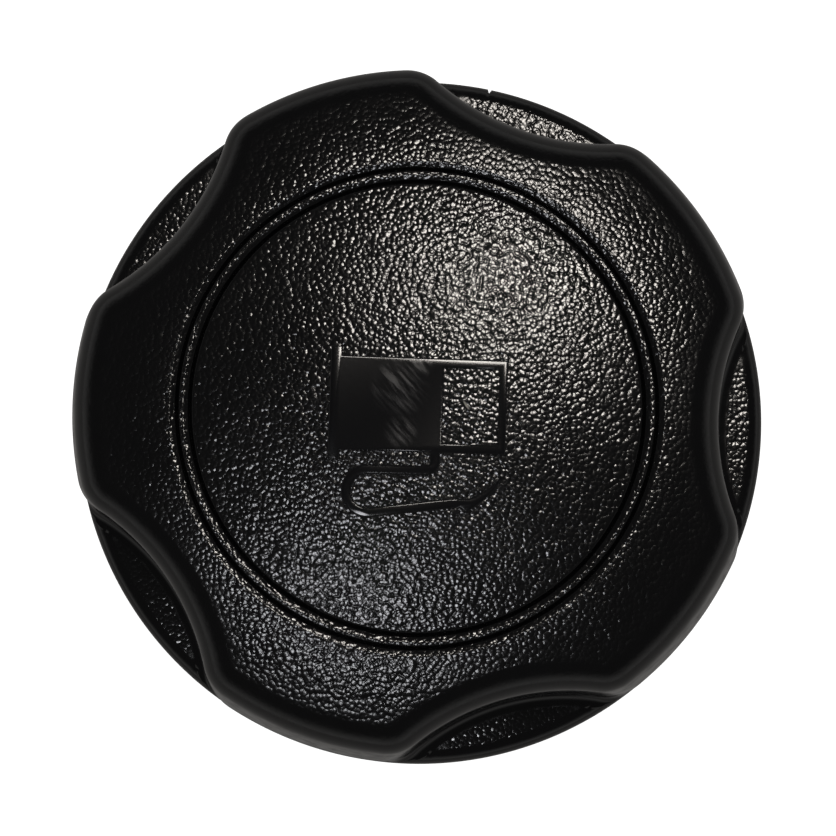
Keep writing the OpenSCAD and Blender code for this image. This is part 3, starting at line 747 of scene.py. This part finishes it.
@material("moulded polypropylene, grained", GRIP_COLOUR, 0.3, 1.49)
def grip_plastic(tree, shader, place):
    """Black polypropylene moulded in an etched tool: a fine pebble grain that breaks the light into
    sparks, dying out towards the edges, which stay smooth and satin."""
    grip = bpy.context.scene.cap_grip
    colour = shader.inputs["Base Color"].default_value = opaque(grip.colour)
    depth = add(tree, "Attribute", attribute_name="grain").outputs["Fac"]
    size = grip.grain_size / MM
    ripple = add(tree, NOISE, {"Vector": place, "Scale": PER_MM / (size * 0.8), "Detail": 0})
    cell = add(tree, "TexVoronoi", {
        "Vector": place, "Scale": PER_MM / size, "Smoothness": 0.25}, feature="SMOOTH_F1")
    pebble = add(tree, "MULTIPLY", add(tree, "MULTIPLY", cell, cell), -1.0)
    ripple = add(tree, "MULTIPLY", ripple, 0.35)
    height = add(tree, "ADD", pebble, ripple)
    # The tool's grain is shallower on the two hollows away from the gate.
    level = add(tree, "SeparateXYZ", place).outputs[2]
    toward = add(tree, "VectorMath", place, AWAY_FROM_GATE, operation="DOT_PRODUCT")
    beyond = add(tree, RANGE, toward.outputs["Value"], SHALLOW_FROM * MM, SHALLOW_TO * MM)
    low = add(tree, RANGE, level, (SHELF_Z + SHALLOW_LOW) * MM, (SHELF_Z + SHALLOW_HIGH) * MM, 1.0, 0.0)
    shallow = add(tree, "MULTIPLY", beyond, low)
    less_deep, less_rough = (
        add(tree, "SUBTRACT", 1.0, add(tree, "MULTIPLY", shallow, part)) for part in (0.6, 0.45))
    deep = add(tree, "MULTIPLY", depth, less_deep)
    fine = add(tree, NOISE, {"Vector": place, "Scale": PER_MM / 1.4, "Detail": 3})
    patch = add(tree, NOISE, {"Vector": place, "Scale": PER_MM / 9, "Detail": 3})
    blend = add(tree, "Mix", {
        0: depth, 2: add(tree, RANGE, fine, *NOISE_SPAN, 0.12, 0.28),
        3: add(tree, RANGE, patch, *NOISE_SPAN, 0.11, 0.14)})
    # a small pale mark beside the symbol
    near = add(tree, "Mapping", {
        "Vector": place, "Location": (5.4 * MM, 0.3 * MM, 46 * MM), "Rotation": (0, 0, math.radians(-55)),
        "Scale": (0.65 * MM, 0.14 * MM, 1)}, vector_type="TEXTURE")
    away = add(tree, "VectorMath", near, operation="LENGTH").outputs["Value"]
    fleck = add(tree, RANGE, away, 1.0, 0.6)
    satin = add(tree, "MULTIPLY", blend, less_rough)
    scuff = add(tree, "MULTIPLY", fleck, 0.4)
    return (fleck, colour, "#c8c4ba", add(tree, "MULTIPLY", height, deep),
            grip.grain_depth / MM, add(tree, "ADD", satin, scuff))


@material("moulded polypropylene, polished", SYMBOL_COLOUR, 0.4, 1.49)
def symbol_plastic(tree, shader, place):
    """The same plastic where the tool was polished: flat and satin, with faint slanting rub marks."""
    colour = shader.inputs["Base Color"].default_value = opaque(bpy.context.scene.cap_grip.symbol_colour)
    turned = add(tree, "Mapping", {
        "Vector": place, "Rotation": (0, 0, math.radians(-48)), "Scale": (7, 1, 1)}, vector_type="TEXTURE")
    rub = add(tree, NOISE, {"Vector": turned, "Scale": PER_MM / 0.45, "Detail": 3})
    worn = None
    for x, y, size in ((0.1, 4.6, 1.7), (-1.8, 2.0, 3.4), (-1.6, -2.8, 2.0)):
        middle = (x * MM, y * MM, SYMBOL_TOP * MM)
        away = add(tree, "VectorMath", place, middle, operation="DISTANCE").outputs["Value"]
        spot = add(tree, RANGE, away, size * MM, size * MM * 0.3)
        worn = spot if worn is None else add(tree, "MAXIMUM", worn, spot)
    mark = add(tree, "MULTIPLY", add(tree, RANGE, rub, 0.42, 0.68), worn)
    return (add(tree, "MULTIPLY", mark, 0.4), colour, "#3a3b42", rub, 0.001,
            add(tree, RANGE, mark, 0, 1, 0.1, 0.24))


@material("moulded acetal, black", "#151618", 0.42, 1.48)
def plug_plastic(tree, shader, place):
    """Black acetal off a spark-eroded tool: an even, very fine matt texture with faint flow shading."""
    flow = add(tree, NOISE, {"Vector": place, "Scale": PER_MM / 7, "Detail": 3, "Distortion": 0.6})
    return add(tree, RANGE, flow, 0.35, 0.65), "#131416", "#1b1c1f", (0.18, 1), 0.006, (flow, 0.36, 0.5)


@material("moulded nylon, glass filled", "#2b2d30", 0.5, 1.53)
def housing_plastic(tree, shader, place):
    """Dark grey glass-filled nylon: slightly lighter, with the short fibres showing as faint flecks."""
    fleck = add(tree, "TexVoronoi", {"Vector": place, "Scale": PER_MM / 0.3})
    share = add(tree, "MULTIPLY", add(tree, RANGE, fleck, 0.12, 0.02), 0.5)
    cloud = add(tree, NOISE, {"Vector": place, "Scale": PER_MM / 5, "Detail": 3})
    return share, "#292b2e", "#4b4e53", (0.25, 2), 0.008, (cloud, 0.44, 0.58)


@material("moulded acetal, natural", "#d9d6c9", 0.35, 1.48, {
    "Subsurface Weight": 0.25, "Subsurface Radius": (0.004, 0.0035, 0.003), "Subsurface Scale": 0.3})
def natural_acetal(tree, shader, place):
    """Uncoloured acetal: milky white and waxy, as sliding pieces are."""
    cloud = add(tree, NOISE, {"Vector": place, "Scale": PER_MM / 6, "Detail": 3, "Distortion": 0.4})
    return add(tree, RANGE, cloud, 0.35, 0.65), "#d3cfc0", "#e0ddd2", (0.2, 1), 0.003, (cloud, 0.3, 0.42)


@material("moulded nitrile rubber", "#101011", 0.7, 1.52)
def seal_rubber(tree, shader, place):
    """Nitrile rubber: deep matt black with a dusty bloom in patches."""
    bloom = add(tree, NOISE, {"Vector": place, "Scale": PER_MM / 3.5, "Detail": 4, "Distortion": 0.5})
    return (add(tree, RANGE, bloom, 0.45, 0.75, 0.0, 0.6), "#0e0e0f", "#242423",
            (0.15, 2), 0.006, (bloom, 0.6, 0.8))


@material("drawn stainless wire", "#b9b8b4", 0.25, 1.5, {"Metallic": 1.0})
def spring_steel(tree, shader, place):
    """Drawn stainless wire: bright, with fine streaks and a little straw tint."""
    stretched = add(tree, "Mapping", {"Vector": place, "Scale": (1, 1, 6)})
    streak = add(tree, NOISE, {"Vector": stretched, "Scale": PER_MM / 0.5, "Detail": 3})
    tint = add(tree, NOISE, {"Vector": place, "Scale": PER_MM / 3})
    return tint, "#a9a8a6", "#c6c2b8", streak, 0.003, (streak, 0.2, 0.36)


@material("zinc plated steel, passivated", "#b7a468", 0.3, 1.5, {"Metallic": 1.0})
def passivated_steel(tree, shader, place):
    """Zinc-plated, yellow-passivated steel: a straw sheen that drifts to pink and green in patches."""
    drift = add(tree, NOISE, {"Vector": place, "Scale": PER_MM / 4, "Detail": 3, "Distortion": 0.8})
    haze = add(tree, NOISE, {"Vector": place, "Scale": PER_MM / 0.4, "Detail": 3})
    ground = add(tree, "Mix", {
        0: add(tree, RANGE, drift, 0.3, 0.55), 6: "#b8a255", 7: "#c2b27c"}, data_type="RGBA")
    return (add(tree, RANGE, drift, 0.5, 0.75, 0.0, 0.7), ground.outputs[2], "#a99a86",
            (0.3, 2), 0.003, (haze, 0.24, 0.42))


@material("needled polyester felt", "#8b8a84", 0.95, 1.5, {"Sheen Weight": 0.4})
def filter_felt(tree, shader, place):
    """Needled polyester felt: grey, with a soft tangle of fibres."""
    tangle = add(tree, NOISE, {"Vector": place, "Scale": PER_MM / 0.35, "Detail": 6, "Distortion": 3.0})
    return add(tree, RANGE, tangle, 0.35, 0.65), "#75746e", "#a3a29b", tangle, 0.06


# ---------------- settings

class CapGripSettings(bpy.types.PropertyGroup):
    hollow_steps: IntProperty(
        name="Hollow steps", description="Steps along half a finger hollow", default=14, min=4, max=40)
    corner_steps: IntProperty(
        name="Corner steps", description="Steps round a corner between hollow and lobe",
        default=18, min=4, max=40)
    lobe_steps: IntProperty(
        name="Lobe steps", description="Steps along the outer arc of a lobe", default=30, min=4, max=80)
    symbol_bevel: FloatProperty(
        name="Symbol bevel", description="Rounding of the raised symbol's edge",
        default=0.0002, min=0.00002, max=0.0003, unit="LENGTH", precision=5)
    grain_size: FloatProperty(
        name="Grain size", description="Width of one pebble of the moulded grain",
        default=0.0005, min=0.0002, max=0.002, unit="LENGTH", precision=5)
    grain_depth: FloatProperty(
        name="Grain depth", description="Depth of the moulded grain",
        default=0.000036, min=0.0, max=0.0005, unit="LENGTH", precision=5)
    nick_angle: FloatProperty(
        name="Nick angle", description="Where the nick in the flange's edge is, in degrees from +X",
        default=79.9, min=-180, max=180)
    nick_width: FloatProperty(
        name="Nick width", description="Width of the nick",
        default=0.00045, min=0.0001, max=0.004, unit="LENGTH", precision=5)
    nick_depth: FloatProperty(
        name="Nick depth", description="Depth of the nick",
        default=0.00045, min=0.0, max=0.002, unit="LENGTH", precision=5)
    colour: FloatVectorProperty(
        name="Plastic", description="Colour of the grip's plastic",
        subtype="COLOR", size=3, min=0, max=1, default=linear(GRIP_COLOUR)[:3])
    symbol_colour: FloatVectorProperty(
        name="Symbol plastic", description="Colour of the symbol's polished top",
        subtype="COLOR", size=3, min=0, max=1, default=linear(SYMBOL_COLOUR)[:3])


class CapPlugSettings(bpy.types.PropertyGroup):
    thread_lift: FloatProperty(
        name="Thread lift", description="How far the smooth thread stands off the packed one",
        default=0.00004, min=0.0, max=0.0002, unit="LENGTH", precision=6)
    thread_points: IntProperty(
        name="Thread points", description="Points along one turn of the thread", default=140, min=24, max=400)
    spring_points: IntProperty(
        name="Spring points", description="Points along one turn of a spring", default=56, min=16, max=200)


class CapStageSettings(bpy.types.PropertyGroup):
    floor_size: FloatProperty(
        name="Floor", description="Side of the floor", default=12.0, min=1.0, max=50.0, unit="LENGTH")
    floor_colour: FloatVectorProperty(
        name="Floor colour", description="Colour of the floor",
        subtype="COLOR", size=3, min=0, max=1, default=(0.9, 0.9, 0.9))
    key_strength: FloatProperty(
        name="Key light", description="Strength of the soft key light", default=0.33, min=0.0, max=20.0)
    second_strength: FloatProperty(
        name="Second light", description="Strength of the weaker light beside the camera",
        default=0.135, min=0.0, max=20.0)
    camera_height: FloatProperty(
        name="Camera distance", description="Distance from the camera to the flange",
        default=0.283, min=0.1, max=3.0, unit="LENGTH")
    camera_lens: FloatProperty(
        name="Lens", description="Focal length on a 36 mm sensor, in millimetres",
        default=104.0, min=20, max=300)


# ---------------- operators

class CAP_OT_grip(bpy.types.Operator):
    """Build the grip moulding in full smoothness, with its ribbed inside"""
    bl_idname = "cap.grip"
    bl_label = "Grip moulding"

    def execute(self, context):
        settings = context.scene.cap_grip
        steps = (settings.hollow_steps, settings.corner_steps, settings.lobe_steps)
        numbers = {"Lobes": LOBES, "Finish": grip_plastic()}
        skin = grown("grip", lobe_tree(), numbers, sector_mesh(grip_rings(steps)))
        inside = moulded_inside("grip_cap")
        hollow = bpy.data.meshes.new("grip_inside")
        inside.to_mesh(hollow)
        inside.free()
        work = bmesh.new()
        work.from_mesh(skin)
        work.from_mesh(hollow)
        bpy.data.meshes.remove(hollow)
        open_verts = {v for e in work.edges if len(e.link_faces) == 1 for v in e.verts}
        rim, mouth = [], []
        for v in open_verts:
            if v.co.z < (GRIP_Z + 1) * MM:
                (rim if math.hypot(v.co.x, v.co.y) > RIM_SPLIT_R * MM else mouth).append(v)
        zip_loops(work, rim, mouth)
        fill_panel(work, by_angle([v for v in open_verts if v.co.z > CROWN_Z * MM]))
        bmesh.ops.dissolve_degenerate(work, dist=WELD, edges=work.edges)
        bmesh.ops.recalc_face_normals(work, faces=work.faces)
        if any(len(e.link_faces) != 2 for e in work.edges):
            raise RuntimeError("the grip isn't closed")
        for face in work.faces:
            face.material_index = 0
        nick(work, settings)
        work.to_mesh(skin)
        work.free()
        smooth_by_angle(skin, GRIP_SHARP)
        skin.materials.clear()
        skin.materials.append(grip_plastic())
        grip = new_object("grip", skin)
        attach(grip, "grip")
        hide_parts("grip_cap")
        return {"FINISHED"}


class CAP_OT_symbol(bpy.types.Operator):
    """Build the raised fuel-pump symbol"""
    bl_idname = "cap.symbol"
    bl_label = "Fuel-pump symbol"

    def execute(self, context):
        mesh = symbol_mesh("pump_symbol", context.scene.cap_grip.symbol_bevel)
        mesh.materials.append(symbol_plastic())
        symbol = new_object("pump_symbol", mesh)
        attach(symbol, "grip")
        return {"FINISHED"}


class CAP_OT_thread(bpy.types.Operator):
    """Build the plug's smooth thread"""
    bl_idname = "cap.thread"
    bl_label = "Thread"

    def execute(self, context):
        lift = context.scene.cap_plug.thread_lift
        mesh = grown("plug_thread", thread_tree(), {
            "Root radius": (BARREL_R - THREAD_SINK) * MM,
            "Run-out radius": (BARREL_R - RUN_OUT_SINK) * MM,
            "Start": THREAD_START_Z * MM,
            "Pitch": THREAD_PITCH * MM,
            "Turns": THREAD_TURNS,
            "Depth": (THREAD_DEPTH + THREAD_SINK) * MM + lift,
            "Foot width": THREAD_PITCH * THREAD_FOOT * MM + 2 * lift,
            "Crest width": THREAD_PITCH * THREAD_CREST * MM + 2 * lift,
            "Crest round": THREAD_ROUND * MM,
            "Points per turn": context.scene.cap_plug.thread_points,
            "Finish": plug_plastic(),
        })
        smooth_by_angle(mesh, THREAD_SHARP)
        thread = new_object("plug_thread", mesh)
        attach(thread, "plug")
        return {"FINISHED"}


class CAP_OT_springs(bpy.types.Operator):
    """Wind the two valve springs"""
    bl_idname = "cap.springs"
    bl_label = "Valve springs"

    def execute(self, context):
        tree = spring_tree()

        def wind(name, low, high, wire, turns):
            return new_object(name, grown(name, tree, {
                "Coil radius": high.x - wire / 2 * MM, "Wire": wire * MM, "Bottom": low.z, "Top": high.z,
                "Turns": turns, "Flat turns": FLAT_TURNS,
                "Points per turn": context.scene.cap_plug.spring_points, "Finish": spring_steel()}))

        low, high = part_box("pressure_spring")
        pressure = wind("pressure_coil", low, high, PRESSURE_WIRE, PRESSURE_TURNS)
        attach(pressure, "plug")
        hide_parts("pressure_spring")
        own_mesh(pressure)
        low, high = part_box("vacuum_spring")
        vacuum = wind("vacuum_coil", low, high, VACUUM_WIRE, VACUUM_TURNS)
        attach(vacuum, "pressure_valve")
        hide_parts("vacuum_spring")
        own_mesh(vacuum)
        return {"FINISHED"}


class CAP_OT_finishes(bpy.types.Operator):
    """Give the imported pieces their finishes"""
    bl_idname = "cap.finishes"
    bl_label = "Finishes"

    def execute(self, context):
        finishes = {
            grip_plastic: ("grip_cap",),
            plug_plastic: ("plug_body", "lock_ring", "vented_cover"),
            housing_plastic: ("valve_housing", "spring_retainer"),
            natural_acetal: ("tooth_ring", "slide_washer", "pawl_ring", "vacuum_stem"),
            seal_rubber: ("main_seal", "housing_o_ring", "pressure_disc", "vacuum_disc"),
            spring_steel: ("pressure_spring", "vacuum_spring", "stem_clip"),
            passivated_steel: ("pressure_plate", "disc_clamp"),
            filter_felt: ("breather_filter",),
        }
        left = set(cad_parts)
        for finish, nodes in finishes.items():
            for node in nodes:
                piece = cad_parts[node]
                if not piece.material_slots:
                    piece.data.materials.append(None)
                for place in piece.material_slots:
                    place.link = "OBJECT"
                    place.material = finish()
                left.remove(node)
        if left:
            raise RuntimeError(f"no finish for {sorted(left)}")
        return {"FINISHED"}


class CAP_OT_stage(bpy.types.Operator):
    """Set the floor, the lights and the camera"""
    bl_idname = "cap.stage"
    bl_label = "Studio"

    def execute(self, context):
        settings = context.scene.cap_stage
        self.floor(settings)
        for name, direction, width, colour in LAMPS:
            data = bpy.data.lights.new(name, "SUN")
            data.energy = getattr(settings, name + "_strength")
            data.angle = math.radians(width)
            data.color = colour
            lamp = new_object(name, data)
            lamp.rotation_mode = "QUATERNION"
            lamp.rotation_quaternion = Vector(direction).to_track_quat("Z", "Y")
        self.room(context)
        context.scene.view_settings.view_transform = "Standard"
        self.camera(context, settings)
        return {"FINISHED"}

    def floor(self, settings):
        half = settings.floor_size / 2
        mesh = bpy.data.meshes.new("floor")
        corners = [(-half, -half, 0), (half, -half, 0), (half, half, 0), (-half, half, 0)]
        mesh.from_pydata(corners, [], [(0, 1, 2, 3)])
        floor = new_object("floor", mesh)
        colour = opaque(settings.floor_colour)
        paper, tree, shader, _ = plain("white paper sweep", {
            "Base Color": colour, "Roughness": 0.9, "IOR": 1.45, "Emission Color": colour})
        floor.data.materials.append(paper)
        seen = add(tree, "LightPath").outputs["Is Camera Ray"]
        glow = add(tree, "MULTIPLY", seen, FLOOR_GLOW)
        tree.links.new(glow.outputs[0], shader.inputs["Emission Strength"])
        # The sheet shows from above only, so that a view from below sees the underside of the cap.
        below = add(tree, "NewGeometry").outputs["Backfacing"]
        shown = add(tree, "MixShader", below, shader, add(tree, "BsdfTransparent"))
        tree.links.new(shown.outputs[0], tree.nodes["Material Output"].inputs["Surface"])

    def room(self, context):
        """A plain backdrop for the camera, and for the light a room that is darker overhead."""
        world = bpy.data.worlds.new("Studio")
        world.use_nodes = True
        context.scene.world = world
        tree = world.node_tree
        tree.nodes.clear()
        way = add(tree, "SeparateXYZ", add(tree, "TexCoord").outputs["Generated"])
        walls = add(tree, RANGE, way.outputs[2], *ROOM_HEIGHTS, *ROOM_STRENGTHS,
                    interpolation_type="SMOOTHSTEP")
        room = add(tree, "Background", ROOM_COLOUR, walls)
        backdrop = add(tree, "Background", BACKDROP, 1.0)
        seen = add(tree, "LightPath").outputs["Is Camera Ray"]
        add(tree, "OutputWorld", add(tree, "MixShader", seen, room, backdrop))

    def camera(self, context, settings):
        data = bpy.data.cameras.new("camera")
        data.lens = settings.camera_lens
        data.sensor_width = 36
        data.clip_start, data.clip_end = 0.01, 100
        camera = new_object("camera", data)
        a, e = VIEW_AZIMUTH, VIEW_ELEVATION
        back = Vector((math.sin(a) * math.cos(e), -math.cos(a) * math.cos(e), math.sin(e)))
        right = Vector((math.cos(VIEW_ROLL), math.sin(VIEW_ROLL), 0))
        across = (right - back * back.dot(right)).normalized()
        turn = Matrix((across, back.cross(across), back)).transposed().to_4x4()
        stand = Vector(VIEW_AIM) * MM + back * settings.camera_height
        camera.matrix_world = Matrix.Translation(stand) @ turn
        context.scene.camera = camera


class CAP_PT_panel(bpy.types.Panel):
    """Shows the cap's settings and the buttons that build its pieces, finishes and studio"""
    bl_idname = "CAP_PT_panel"
    bl_label = "Fuel filler cap"
    bl_space_type = "VIEW_3D"
    bl_region_type = "UI"
    bl_category = "Filler cap"

    def draw(self, context):
        for settings in (context.scene.cap_grip, context.scene.cap_plug, context.scene.cap_stage):
            column = self.layout.column(align=True)
            for key in settings.bl_rna.properties.keys():
                if key not in ("rna_type", "name"):
                    column.prop(settings, key)
        for operator in OPERATORS:
            self.layout.operator(operator.bl_idname)


OPERATORS = (CAP_OT_stage, CAP_OT_grip, CAP_OT_symbol, CAP_OT_thread, CAP_OT_springs, CAP_OT_finishes)
CLASSES = (CapGripSettings, CapPlugSettings, CapStageSettings, *OPERATORS, CAP_PT_panel)


def register():
    for cls in CLASSES:
        bpy.utils.register_class(cls)
    bpy.types.Scene.cap_grip = PointerProperty(type=CapGripSettings)
    bpy.types.Scene.cap_plug = PointerProperty(type=CapPlugSettings)
    bpy.types.Scene.cap_stage = PointerProperty(type=CapStageSettings)


def unregister():
    del bpy.types.Scene.cap_grip, bpy.types.Scene.cap_plug, bpy.types.Scene.cap_stage
    for cls in reversed(CLASSES):
        bpy.utils.unregister_class(cls)


def main():
    register()
    bpy.ops.cap.stage()
    bpy.ops.cap.grip()
    bpy.ops.cap.symbol()
    bpy.ops.cap.thread()
    bpy.ops.cap.springs()
    bpy.ops.cap.finishes()


if __name__ == "__main__":
    main()
